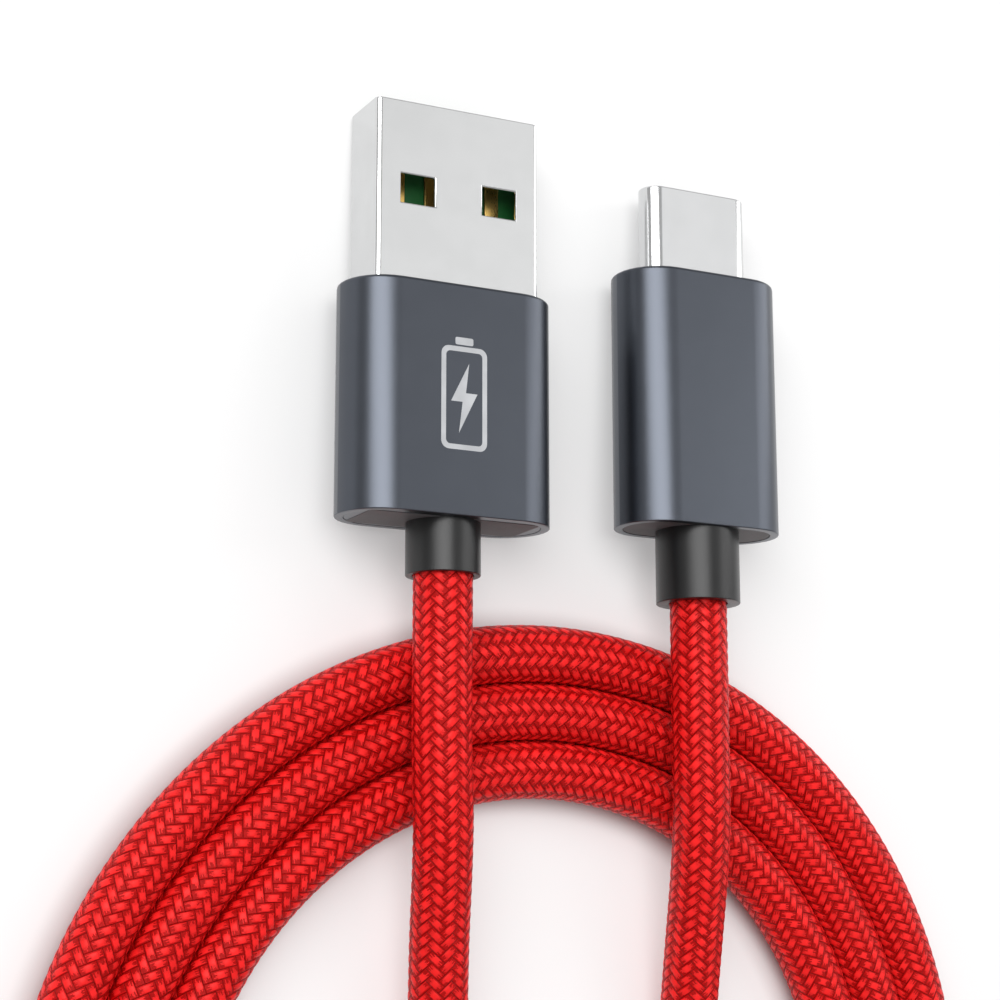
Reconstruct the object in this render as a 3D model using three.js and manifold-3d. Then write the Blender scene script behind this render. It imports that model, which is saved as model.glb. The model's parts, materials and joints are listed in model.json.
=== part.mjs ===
// A braided charging cable: a USB-A plug and a USB-C plug on one cord that lies in a flat coil.
// Millimetres, +Z up. The cable lies on the plane z = 0. Both plugs point along +Y, wide faces up.
//
// Two kinds of local axes are used:
//   in a plug, the tip is at y = 0, the cord leaves along -Y, and "s" is the distance behind the tip;
//   on the surface, the coil's centre is at x = y = 0 until the last lines move the whole cable.

import * as THREE from 'three';
import { mergeVertices } from 'three/addons/utils/BufferGeometryUtils.js';
import Module from 'manifold-3d';

const wasm = await Module();
wasm.setup();

// ---------------------------------------------------------------- driving dimensions

const CORD_DIAMETER = 3.9;
const CORD_GAP = 0.3; // between the ends of two cord solids
const JACKET_DIAMETER = 3.3; // the cord under its braid
const WIRE_DIAMETER = 0.84;

const COIL_TURNS = 3;
const COIL_OUTER_RADIUS = 35.3;
const COIL_INNER_RADIUS = COIL_OUTER_RADIUS - COIL_TURNS * CORD_DIAMETER;
const OUTER_TURN_RADIUS = COIL_OUTER_RADIUS - CORD_DIAMETER / 2;
const INNER_TURN_RADIUS = COIL_INNER_RADIUS + CORD_DIAMETER / 2;

const PLUG_TILT = THREE.MathUtils.degToRad(5.9); // tips down, because the cord lies over the coil
const FIT_GAP = 0.05; // all round, between pieces that are pressed or moulded together
const SWAGE = 0.03; // all round, by how much a shell is smaller where its housing grips it

const USB_A = {
  tip: { x: -9.77, y: 69.0 },
  shell: { width: 12.0, height: 4.5, wall: 0.3, corner: 0.5, end: 18.6 },
  window: { width: 2.5, start: 5.1, end: 7.1, offset: 3.0 },
  insulator: { start: 0.5, step: 9.2, end: 17.4 },
  contacts: [
    { name: 'usb_a_contact_1', x: -3.5, start: 1.3, wire: 'usb_a_wire_red' },
    { name: 'usb_a_contact_2', x: -1.0, start: 2.3, wire: 'usb_a_wire_white' },
    { name: 'usb_a_contact_3', x: 1.0, start: 2.3, wire: 'usb_a_wire_green' },
    { name: 'usb_a_contact_4', x: 3.5, start: 1.3, wire: 'usb_a_wire_black' },
  ],
  contact: { width: 1.0, thickness: 0.2, end: 18.9 },
  housing: { width: 15.0, height: 6.25, start: 12.4, end: 27.9, wall: 0.6, web: 1.2, chamfer: 0.25 },
  mould: { start: 19.0, end: 26.5, cavityWidth: 11.4, cavityHeight: 3.7 },
  cap: { start: 26.7, end: 27.65 },
  boot: { diameter: 4.95, start: 27.75, end: 31.4 },
  jacket: { start: 24.5, end: 29.9 },
};

const USB_C = {
  tip: { x: 9.73, y: 66.7 },
  shell: { width: 8.25, height: 2.4, wall: 0.3, end: 9.3 },
  insulator: { start: 0.4, slotEnd: 5.6, end: 8.9, slotWidth: 6.7, slotHeight: 0.76, channelTop: 0.72 },
  contact: { width: 0.26, thickness: 0.12, height: 0.42, start: 1.2, end: 10.3, pitch: 0.5 },
  upperPins: ['a1', 'a4', 'a5', 'a6', 'a7', 'a9', 'a12'],
  lowerPins: ['b1', 'b4', 'b9', 'b12'],
  latch: { inner: 3.4, thickness: 0.15, hook: 0.28, start: 1.0, end: 8.2, height: 0.5 },
  latchChannel: { x: 3.6, width: 0.6 },
  board: { width: 8.6, thickness: 0.6, start: 9.5, end: 15.0 },
  resistor: { width: 1.0, thickness: 0.35, length: 0.5, x: 1.9, centre: 12.4 },
  housing: { width: 12.3, height: 6.3, start: 6.5, end: 24.5, wall: 0.6, web: 1.5, chamfer: 0.25 },
  mould: { start: 10.9, end: 23.1, cavityWidth: 9.0, cavityHeight: 3.9 },
  cap: { start: 23.3, end: 24.25 },
  boot: { diameter: 5.8, start: 24.55, end: 29.5 },
  jacket: { start: 20.4, end: 28.0 },
};

const OVERLAP = 0.01; // between two joined shapes, or two cuts, that meet
const BOOT_BORE = CORD_DIAMETER + 0.15;
const BOOT_CHAMFER = 0.15;
const CAP_BORE = CORD_DIAMETER + 0.25;

// ---------------------------------------------------------------- materials

const finish = (color, roughness, metalness) =>
  new THREE.MeshStandardMaterial({ color, roughness, metalness });

const MATERIAL = {
  nickel: () => finish(0xc9cbcc, 0.25, 1.0),
  gold: () => finish(0xd9a93c, 0.25, 1.0),
  anodised: () => finish(0x565c66, 0.42, 0.85),
  greenPlastic: () => finish(0x0d3314, 0.5, 0.0),
  blackPlastic: () => finish(0x222325, 0.5, 0.0),
  greyPlastic: () => finish(0x4b4c4e, 0.55, 0.0),
  mouldPlastic: () => finish(0xd8d6cf, 0.6, 0.0),
  circuitBoard: () => finish(0x0f4a2a, 0.45, 0.0),
  braid: () => finish(0xc40d14, 0.7, 0.0),
  jacket: () => finish(0x8f1216, 0.6, 0.0),
  wire: (color) => finish(color, 0.45, 0.0),
};

const WIRE_COLOUR = { red: 0xc8161c, white: 0xe8e6df, green: 0x1f8f3a, black: 0x1b1b1d };

// ---------------------------------------------------------------- shapes and solids

/** An outline with two straight sides and two half-round ends. */
function stadium(width, height) {
  const straight = (width - height) / 2;
  const shape = new THREE.Shape();
  shape.absarc(straight, 0, height / 2, -Math.PI / 2, Math.PI / 2);
  shape.absarc(-straight, 0, height / 2, Math.PI / 2, (3 * Math.PI) / 2);
  shape.closePath();
  return shape;
}

function roundedRectangle(width, height, corner) {
  const x = width / 2 - corner;
  const y = height / 2 - corner;
  const shape = new THREE.Shape();
  shape.absarc(x, y, corner, 0, Math.PI / 2);
  shape.absarc(-x, y, corner, Math.PI / 2, Math.PI);
  shape.absarc(-x, -y, corner, Math.PI, (3 * Math.PI) / 2);
  shape.absarc(x, -y, corner, (3 * Math.PI) / 2, 2 * Math.PI);
  shape.closePath();
  return shape;
}

function circle(diameter) {
  const shape = new THREE.Shape();
  shape.absarc(0, 0, diameter / 2, 0, 2 * Math.PI);
  return shape;
}

function polygon(points) {
  return new THREE.Shape(points.map(([x, y]) => new THREE.Vector2(x, y)));
}

/** Extrudes a cross-section (x across, y up) along a plug, from start to end behind the tip. */
function alongPlug(shape, start, end, curveSegments = 8) {
  const geometry = new THREE.ExtrudeGeometry(shape, {
    depth: end - start,
    bevelEnabled: false,
    curveSegments,
  });
  return geometry.translate(0, 0, start).rotateX(Math.PI / 2);
}

/** The same, for a stadium whose two end edges are chamfered. */
function chamferedStadium(width, height, start, end, chamfer) {
  const geometry = new THREE.ExtrudeGeometry(stadium(width - 2 * chamfer, height - 2 * chamfer), {
    depth: end - start - 2 * chamfer,
    bevelEnabled: true,
    bevelThickness: chamfer,
    bevelSize: chamfer,
    bevelSegments: 1,
    curveSegments: 12,
  });
  return geometry.translate(0, 0, start + chamfer).rotateX(Math.PI / 2);
}

/** Extrudes a profile drawn in y and z, and centres its depth across the plug. */
function acrossPlug(profile, depth) {
  const geometry = new THREE.ExtrudeGeometry(profile, { depth, bevelEnabled: false });
  const toPlug = new THREE.Matrix4().makeBasis(
    new THREE.Vector3(0, 1, 0),
    new THREE.Vector3(0, 0, 1),
    new THREE.Vector3(1, 0, 0),
  );
  return geometry.applyMatrix4(toPlug).translate(-depth / 2, 0, 0);
}

/** A box in a plug: its centre across and up, its size, and its reach behind the tip. */
function plugBox(x, z, width, height, start, end) {
  return new THREE.BoxGeometry(width, end - start, height).translate(x, -(start + end) / 2, z);
}

function toSolid(geometry) {
  const bare = geometry.clone();
  bare.deleteAttribute('normal');
  bare.deleteAttribute('uv');
  const merged = mergeVertices(bare, 1e-5);
  return new wasm.Manifold(
    new wasm.Mesh({
      numProp: 3,
      vertProperties: new Float32Array(merged.attributes.position.array),
      triVerts: new Uint32Array(merged.index.array),
    }),
  );
}

function fromSolid(solid) {
  const mesh = solid.getMesh();
  const geometry = new THREE.BufferGeometry();
  geometry.setAttribute('position', new THREE.BufferAttribute(mesh.vertProperties, 3));
  geometry.setIndex(new THREE.BufferAttribute(mesh.triVerts, 1));
  geometry.computeVertexNormals();
  return geometry;
}

function cut(geometry, tools) {
  return fromSolid(tools.reduce((solid, tool) => solid.subtract(toSolid(tool)), toSolid(geometry)));
}

function join(first, second) {
  return fromSolid(toSolid(first).add(toSolid(second)));
}

/** A tube along a smooth curve through the points, closed by flat ends. */
function tubeAlong(points, diameter, sides, steps) {
  const section = new THREE.Shape();
  for (let i = 0; i < sides; i += 1) {
    const angle = (2 * Math.PI * i) / sides;
    const move = i === 0 ? 'moveTo' : 'lineTo';
    section[move]((diameter / 2) * Math.cos(angle), (diameter / 2) * Math.sin(angle));
  }
  section.closePath();
  const extrudePath = new THREE.CatmullRomCurve3(points, false, 'centripetal');
  return new THREE.ExtrudeGeometry(section, { extrudePath, steps, bevelEnabled: false });
}

/** A tube of revolution along a plug, its two mouth edges chamfered. */
function sleeve(outer, bore, start, end, chamfer) {
  const profile = [
    [bore / 2, start],
    [outer / 2, start],
    [outer / 2, end - chamfer],
    [outer / 2 - chamfer, end],
    [bore / 2, end],
    [bore / 2, start],
  ].map(([radius, s]) => new THREE.Vector2(radius, -s));
  return new THREE.LatheGeometry(profile.reverse(), 32);
}

function piece(name, geometry, material) {
  const mesh = new THREE.Mesh(geometry, material);
  mesh.name = name;
  return mesh;
}

// ---------------------------------------------------------------- pieces both plugs have

/** A sleeve with a web at its front. The opening, with the shell in it, is cut as deep as the shell. */
function housing(name, plug, opening) {
  const { width, height, start, end, wall, web, chamfer } = plug.housing;
  const cavity = alongPlug(stadium(width - 2 * wall, height - 2 * wall), start + web, end + 1, 12);
  const mouth = alongPlug(opening, start - 1, plug.shell.end + 2 * FIT_GAP);
  const body = chamferedStadium(width, height, start, end, chamfer);
  return piece(name, cut(body, [cavity, mouth]), MATERIAL.anodised());
}

function innerMould(name, plug) {
  const { width, height, wall } = plug.housing;
  const { start, end, cavityWidth, cavityHeight } = plug.mould;
  const inset = 2 * (wall + FIT_GAP);
  const shape = stadium(width - inset, height - inset);
  shape.holes.push(stadium(cavityWidth, cavityHeight));
  return piece(name, alongPlug(shape, start, end, 10), MATERIAL.mouldPlastic());
}

function endCap(name, plug) {
  const { width, height, wall } = plug.housing;
  const inset = 2 * (wall + FIT_GAP);
  const shape = stadium(width - inset, height - inset);
  shape.holes.push(circle(CAP_BORE));
  return piece(name, alongPlug(shape, plug.cap.start, plug.cap.end, 12), MATERIAL.greyPlastic());
}

function boot(name, { diameter, start, end }) {
  return piece(name, sleeve(diameter, BOOT_BORE, start, end, BOOT_CHAMFER), MATERIAL.blackPlastic());
}

function jacketEnd(name, { start, end }) {
  return piece(name, alongPlug(circle(JACKET_DIAMETER), start, end, 12), MATERIAL.jacket());
}

/** One insulated wire, from a pad at x to its place in the jacket's end. */
function wire(name, pad, place, jacketStart) {
  const colour = WIRE_COLOUR[name.split('_').pop()];
  const run = jacketStart - 0.1 - pad.s;
  const points = [
    new THREE.Vector3(pad.x, -pad.s, pad.z),
    new THREE.Vector3(pad.x, -(pad.s + 0.25 * run), pad.z),
    new THREE.Vector3(place.x, -(pad.s + 0.75 * run), place.z),
    new THREE.Vector3(place.x, -(pad.s + run), place.z),
  ];
  return piece(name, tubeAlong(points, WIRE_DIAMETER, 8, 8), MATERIAL.wire(colour));
}

/** The four wires' places in the jacket, in a square: [red, white, green, black]. */
const WIRE_PLACES = [
  { x: -0.5, z: 0.5 },
  { x: -0.5, z: -0.5 },
  { x: 0.5, z: -0.5 },
  { x: 0.5, z: 0.5 },
];

// ---------------------------------------------------------------- USB-A plug

function usbAShell() {
  const { width, height, wall, corner, end } = USB_A.shell;
  const tube = (inset, start, stop) => {
    const shape = roundedRectangle(width - 2 * inset, height - 2 * inset, corner - inset);
    shape.holes.push(roundedRectangle(width - 2 * wall, height - 2 * wall, corner - wall));
    return alongPlug(shape, start, stop, 4);
  };
  const { window, housing: { start: grip } } = USB_A;
  const shell = join(tube(0, 0, grip), tube(SWAGE, grip - OVERLAP, end));
  const windows = [-1, 1].map((side) =>
    plugBox(side * window.offset, 0, window.width, height + 2, window.start, window.end));
  return piece('usb_a_shell', cut(shell, windows), MATERIAL.nickel());
}

/** A tongue in the lower half of the shell, stepped up to a full-height block behind it. */
function usbAInsulator() {
  const { shell, insulator, contact, contacts } = USB_A;
  const width = shell.width - 2 * (shell.wall + FIT_GAP);
  const bottom = -shell.height / 2 + shell.wall + FIT_GAP;
  const profile = polygon([
    [-insulator.start, bottom],
    [-insulator.start, 0],
    [-insulator.step, 0],
    [-insulator.step, -bottom],
    [-insulator.end, -bottom],
    [-insulator.end, bottom],
  ]);
  const slotWidth = contact.width + 2 * FIT_GAP;
  const slotHeight = contact.thickness + 2 * FIT_GAP;
  const slots = contacts.map(({ x, start }) =>
    plugBox(x, 0, slotWidth, slotHeight, start - FIT_GAP, insulator.end + 1));
  return piece('usb_a_insulator', cut(acrossPlug(profile, width), slots), MATERIAL.greenPlastic());
}

function usbAContacts() {
  const { width, thickness, end } = USB_A.contact;
  return USB_A.contacts.map(({ name, x, start }) =>
    piece(name, plugBox(x, 0, width, thickness, start, end), MATERIAL.gold()));
}

function usbAWires() {
  return USB_A.contacts.map((contact, i) => {
    const pad = { x: contact.x, z: 0, s: USB_A.contact.end + 0.2 };
    return wire(contact.wire, pad, WIRE_PLACES[i], USB_A.jacket.start);
  });
}

function usbAPlug() {
  const plug = new THREE.Group();
  const { width, height, corner } = USB_A.shell;
  const opening = roundedRectangle(width + 2 * FIT_GAP, height + 2 * FIT_GAP, corner);
  plug.add(
    usbAShell(),
    usbAInsulator(),
    ...usbAContacts(),
    housing('usb_a_housing', USB_A, opening),
    innerMould('usb_a_inner_mould', USB_A),
    endCap('usb_a_end_cap', USB_A),
    boot('usb_a_boot', USB_A.boot),
    jacketEnd('usb_a_jacket_end', USB_A.jacket),
    ...usbAWires(),
  );
  return plug;
}

// ---------------------------------------------------------------- USB-C plug

/** Where a pin sits across the plug: pin 1 to pin 12 in each row, the lower row mirrored. */
function pinX(pin) {
  const middle = 6.5;
  const x = (Number(pin.slice(1)) - middle) * USB_C.contact.pitch;
  return pin.startsWith('a') ? x : -x;
}

function usbCShell() {
  const { width, height, wall, end } = USB_C.shell;
  const tube = (inset, start, stop) => {
    const shape = stadium(width - 2 * inset, height - 2 * inset);
    shape.holes.push(stadium(width - 2 * wall, height - 2 * wall));
    return alongPlug(shape, start, stop, 12);
  };
  const grip = USB_C.housing.start;
  const shell = join(tube(0, 0, grip), tube(SWAGE, grip - OVERLAP, end));
  return piece('usb_c_shell', shell, MATERIAL.nickel());
}

/** The lining of the shell, with the slot for the socket's tongue and a channel for each spring. */
function usbCInsulator() {
  const { shell, insulator, contact, latch, latchChannel, upperPins, lowerPins } = USB_C;
  const inset = 2 * (shell.wall + FIT_GAP);
  const outline = stadium(shell.width - inset, shell.height - inset);
  const body = alongPlug(outline, insulator.start, insulator.end, 12);
  const front = insulator.start - 1;
  const back = insulator.end + 1;
  const { slotEnd, slotWidth, slotHeight, channelTop } = insulator;
  const slot = plugBox(0, 0, slotWidth, slotHeight, front, slotEnd);
  const channelWidth = contact.width + 2 * FIT_GAP;
  // Beside the slot a channel is open to it. Behind the slot it only holds the spring.
  const channel = (pin, bottom, start, end) => {
    const side = pin.startsWith('a') ? 1 : -1;
    const centre = (side * (channelTop + bottom)) / 2;
    return plugBox(pinX(pin), centre, channelWidth, channelTop - bottom, start, end);
  };
  const channels = [...upperPins, ...lowerPins].flatMap((pin) => [
    channel(pin, slotHeight / 4, contact.start - 0.3, slotEnd + OVERLAP),
    channel(pin, contact.height - FIT_GAP, slotEnd - OVERLAP, back),
  ]);
  const latchHeight = latch.height + 4 * FIT_GAP;
  const sides = [-1, 1].map((side) =>
    plugBox(side * latchChannel.x, 0, latchChannel.width, latchHeight, front, latch.end + 2 * FIT_GAP));
  const lining = cut(body, [slot, ...channels, ...sides]);
  return piece('usb_c_insulator', lining, MATERIAL.blackPlastic());
}

/** A flat spring with a rounded dip that presses on the socket's tongue. */
function usbCContact(pin) {
  const { width, thickness, height, start, end } = USB_C.contact;
  const dip = 0.1;
  const line = [
    [start, height - 0.4 * dip],
    [start + 0.7, height - dip],
    [start + 1.5, height - 0.5 * dip],
    [start + 2.4, height],
    [end, height],
  ];
  const lower = line.map(([s, z]) => [-s, z]);
  const upper = line.map(([s, z]) => [-s, z + thickness]).reverse();
  const body = acrossPlug(polygon([...lower, ...upper]), width);
  if (pin.startsWith('b')) body.rotateY(Math.PI);
  body.translate(pinX(pin), 0, 0);
  return piece(`usb_c_contact_${pin}`, body, MATERIAL.gold());
}

/** One side latch: a thin arm with a hook that clicks into the side of the socket's tongue. */
function usbCLatch(name, side) {
  const { inner, thickness, hook, start, end, height } = USB_C.latch;
  const outline = polygon([
    [inner, -end],
    [inner + thickness, -end],
    [inner + thickness, -start],
    [inner, -start],
    [inner - hook, -(start + 0.5)],
    [inner - hook, -(start + 0.8)],
    [inner, -(start + 1.4)],
  ]);
  const body = new THREE.ExtrudeGeometry(outline, { depth: height, bevelEnabled: false });
  body.translate(0, 0, -height / 2);
  if (side < 0) body.rotateY(Math.PI);
  return piece(name, body, MATERIAL.nickel());
}

function usbCBoard() {
  const { board, resistor } = USB_C;
  const top = board.thickness / 2 + FIT_GAP + resistor.thickness / 2;
  return [
    piece('usb_c_circuit_board',
      plugBox(0, 0, board.width, board.thickness, board.start, board.end), MATERIAL.circuitBoard()),
    piece('usb_c_resistor',
      plugBox(resistor.x, top, resistor.width, resistor.thickness,
        resistor.centre - resistor.length / 2, resistor.centre + resistor.length / 2),
      MATERIAL.blackPlastic()),
  ];
}

function usbCWires() {
  const spacing = 1.9;
  const onBoard = USB_C.board.thickness / 2 + FIT_GAP + WIRE_DIAMETER / 2;
  return ['red', 'white', 'green', 'black'].map((colour, i) => {
    const pad = { x: (i - 1.5) * spacing, z: onBoard, s: USB_C.board.end - 1.0 };
    return wire(`usb_c_wire_${colour}`, pad, WIRE_PLACES[i], USB_C.jacket.start);
  });
}

function usbCPlug() {
  const plug = new THREE.Group();
  const { width, height } = USB_C.shell;
  const opening = stadium(width + 2 * FIT_GAP, height + 2 * FIT_GAP);
  plug.add(
    usbCShell(),
    usbCInsulator(),
    ...[...USB_C.upperPins, ...USB_C.lowerPins].map(usbCContact),
    usbCLatch('usb_c_latch_left', -1),
    usbCLatch('usb_c_latch_right', 1),
    ...usbCBoard(),
    housing('usb_c_housing', USB_C, opening),
    innerMould('usb_c_inner_mould', USB_C),
    endCap('usb_c_end_cap', USB_C),
    boot('usb_c_boot', USB_C.boot),
    jacketEnd('usb_c_jacket_end', USB_C.jacket),
    ...usbCWires(),
  );
  return plug;
}

// ---------------------------------------------------------------- placing the plugs

/** Stands a plug at its place, tilted tip down, with its lowest edge on the surface. */
function placePlug(plug, { x, y }) {
  plug.rotation.x = -PLUG_TILT;
  plug.position.set(x, y, 0);
  plug.updateMatrixWorld(true);
  plug.position.z = -new THREE.Box3().setFromObject(plug, true).min.z;
  plug.updateMatrixWorld(true);
}

/** A point on a placed plug's axis. */
function onAxis(plug, s) {
  return plug.localToWorld(new THREE.Vector3(0, -s, 0));
}

// ---------------------------------------------------------------- the cord

// Each run leaves its boot, passes over the coil in a low hump and comes down inside it.
// The points are set by hand, from the boot towards the coil.
const RUN_A = [
  [-9.77, 31.0, 6.14],
  [-9.7, 28.0, 6.3],
  [-9.5, 25.0, 6.3],
  [-9.15, 22.0, 6.02],
  [-8.7, 18.5, 5.25],
  [-8.25, 14.5, 4.35],
  [-7.85, 10.5, 3.75],
  [-7.58, 6.0, 3.5],
  [-7.47, 2.0, 3.55],
].map((point) => new THREE.Vector3(...point));

const RUN_C = [
  [9.73, 31.0, 6.14],
  [9.8, 28.0, 6.3],
  [10.0, 25.0, 6.3],
  [10.3, 22.0, 6.0],
  [10.75, 18.5, 5.15],
  [11.25, 14.5, 4.0],
  [11.7, 10.5, 2.95],
  [11.93, 6.5, 2.3],
  [12.0, 2.5, 2.02],
].map((point) => new THREE.Vector3(...point));

const BEND_A = { x: 12.94, y: 0, radius: 20.41, from: 180, to: 302, steps: 8 };
const BEND_C = { x: -6.63, y: 2, radius: 18.63, from: 0, to: -118, steps: 8 };
const HINGE_Y = 10.5; // where a lifted run starts to bend
const BOOT_EXIT_STRAIGHT = 3.0; // of cord outside a boot, in line with the plug

/** Points along a bend, with the height given by the share of the bend that is done. */
function bendPoints({ x, y, radius, from, to, steps }, heightAt) {
  return Array.from({ length: steps }, (_, i) => {
    const share = (i + 1) / steps;
    const angle = THREE.MathUtils.degToRad(from + share * (to - from));
    const across = radius * Math.cos(angle);
    const along = radius * Math.sin(angle);
    return new THREE.Vector3(x + across, y + along, heightAt(share));
  });
}

/** The part of a route on one side of the hinge line, ending half a gap from it. */
function split(points, side) {
  const hinge = points.findIndex((point) => point.y === HINGE_Y);
  const part = side > 0 ? points.slice(0, hinge + 1) : points.slice(hinge);
  const end = side > 0 ? part.length - 1 : 0;
  const next = side > 0 ? end - 1 : 1;
  const step = part[next].clone().sub(part[end]).normalize();
  part[end] = part[end].clone().addScaledVector(step, CORD_GAP / 2);
  return part;
}

function cordPiece(name, points, steps) {
  return piece(name, tubeAlong(points, CORD_DIAMETER, 8, steps), MATERIAL.braid());
}

/** The run from a boot to the hinge line. It starts just outside the boot's mouth. */
function runPiece(name, plug, { boot: { end } }, route) {
  const start = [onAxis(plug, end + CORD_GAP), onAxis(plug, end + BOOT_EXIT_STRAIGHT)];
  return cordPiece(name, [...start, ...split(route, 1)], 12);
}

/** The coil: a ring that holds every turn, flat below and above, rounded at both sides. */
function coil() {
  const radius = CORD_DIAMETER / 2;
  const steps = 4;
  const corner = (centre, from, to) =>
    Array.from({ length: steps + 1 }, (_, i) => {
      const angle = THREE.MathUtils.degToRad(from + ((to - from) * i) / steps);
      return new THREE.Vector2(centre + radius * Math.cos(angle), radius + radius * Math.sin(angle));
    });
  const profile = [...corner(OUTER_TURN_RADIUS, -90, 90), ...corner(INNER_TURN_RADIUS, 90, 270)];
  profile.push(profile[0].clone());
  const geometry = new THREE.LatheGeometry(profile, 60).rotateX(Math.PI / 2);
  return piece('cord_coil', geometry, MATERIAL.braid());
}

function cord(plugA, plugC) {
  const restHeight = CORD_DIAMETER / 2 + 0.04;
  const startHeight = 3.6;
  const overHeight = 6.1; // over another turn of the cord
  const riseEnd = 0.4; // the share of the bend by which it is that high
  const riseA = (share) =>
    THREE.MathUtils.lerp(startHeight, overHeight, THREE.MathUtils.smoothstep(share, 0, riseEnd));
  const joinA = [...split(RUN_A, -1), ...bendPoints(BEND_A, riseA)];
  const joinC = [...split(RUN_C, -1), ...bendPoints(BEND_C, () => restHeight)];
  return [
    runPiece('cord_run_a', plugA, USB_A, RUN_A),
    runPiece('cord_run_c', plugC, USB_C, RUN_C),
    cordPiece('cord_join_a', joinA, 16),
    cordPiece('cord_join_c', joinC, 14),
    coil(),
  ];
}

// ---------------------------------------------------------------- the whole cable

const plugA = usbAPlug();
const plugC = usbCPlug();
placePlug(plugA, USB_A.tip);
placePlug(plugC, USB_C.tip);

const cable = new THREE.Group();
cable.add(plugA, plugC, ...cord(plugA, plugC));

// The origin is on the surface, under the middle of the two plugs.
const plugs = new THREE.Box3().setFromObject(plugA, true);
plugs.union(new THREE.Box3().setFromObject(plugC, true));
const middle = plugs.getCenter(new THREE.Vector3());
cable.position.set(-middle.x, -middle.y, 0);
cable.updateMatrixWorld(true);

export default cable;
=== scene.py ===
"""A braided charging cable with a USB-A plug and a USB-C plug, laid in a flat coil.

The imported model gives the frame. Most of what shows is built here at a finer grain: the braided
cord, the plug shells, the housings, their end caps and boots. Lengths are in metres. In a plug,
"s" is the distance behind the tip, x goes across and z goes up from the plug's axis.
"""

import json
import math

import bmesh
import bpy
import numpy as np
from mathutils import Matrix, Vector


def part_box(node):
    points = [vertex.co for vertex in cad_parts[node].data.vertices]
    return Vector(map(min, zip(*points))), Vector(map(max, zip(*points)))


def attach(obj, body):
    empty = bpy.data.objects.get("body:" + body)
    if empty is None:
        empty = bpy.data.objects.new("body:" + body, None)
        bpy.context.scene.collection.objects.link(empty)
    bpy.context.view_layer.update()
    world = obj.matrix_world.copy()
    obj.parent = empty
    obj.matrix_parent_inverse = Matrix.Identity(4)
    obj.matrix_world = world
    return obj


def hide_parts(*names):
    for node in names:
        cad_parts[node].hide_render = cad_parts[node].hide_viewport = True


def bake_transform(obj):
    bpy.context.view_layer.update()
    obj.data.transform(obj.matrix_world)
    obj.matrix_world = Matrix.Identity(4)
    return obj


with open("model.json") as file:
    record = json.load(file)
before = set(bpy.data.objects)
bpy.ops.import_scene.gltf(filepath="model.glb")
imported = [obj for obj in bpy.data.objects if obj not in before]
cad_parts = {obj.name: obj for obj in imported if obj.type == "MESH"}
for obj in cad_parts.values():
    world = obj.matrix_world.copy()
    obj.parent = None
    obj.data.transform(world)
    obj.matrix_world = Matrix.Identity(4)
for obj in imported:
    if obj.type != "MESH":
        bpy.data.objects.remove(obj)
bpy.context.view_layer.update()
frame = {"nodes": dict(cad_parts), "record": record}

MM = 0.001

# ---------------------------------------------------------------- driving dimensions

CORD_DIAMETER = 3.9 * MM
PLUG_TILT = math.radians(5.9)
OUTER_TURN_RADIUS = 33.35 * MM
REST_HEIGHT = 1.99 * MM  # the cord's centre where it lies on the surface
OVER_HEIGHT = 6.1 * MM  # and where it lies over another turn

coil_low, coil_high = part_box("cord_coil")
COIL_CENTRE = (coil_low + coil_high) / 2
COIL_CENTRE.z = 0.0

# ---------------------------------------------------------------- camera

CAMERA_PLACE = Vector((-71.5, -27.3, 138.6)) * MM
CAMERA_FORWARD = Vector((0.4429, 0.1155, -0.8891))
CAMERA_UP = Vector((-0.0924, 0.9923, 0.0828))
CAMERA_LENS, CAMERA_SENSOR = 81.5, 36.0  # millimetres


def make_camera():
    data = bpy.data.cameras.new("camera")
    data.lens = CAMERA_LENS
    data.sensor_width = CAMERA_SENSOR
    data.clip_start = 0.01
    data.clip_end = 10.0
    camera = bpy.data.objects.new("camera", data)
    right = CAMERA_FORWARD.cross(CAMERA_UP).normalized()
    up = right.cross(CAMERA_FORWARD).normalized()
    turn = Matrix((right, up, -CAMERA_FORWARD.normalized())).transposed()
    camera.matrix_world = Matrix.Translation(CAMERA_PLACE) @ turn.to_4x4()
    bpy.context.scene.collection.objects.link(camera)
    bpy.context.scene.camera = camera


make_camera()

# ---------------------------------------------------------------- node graphs for materials


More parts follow.
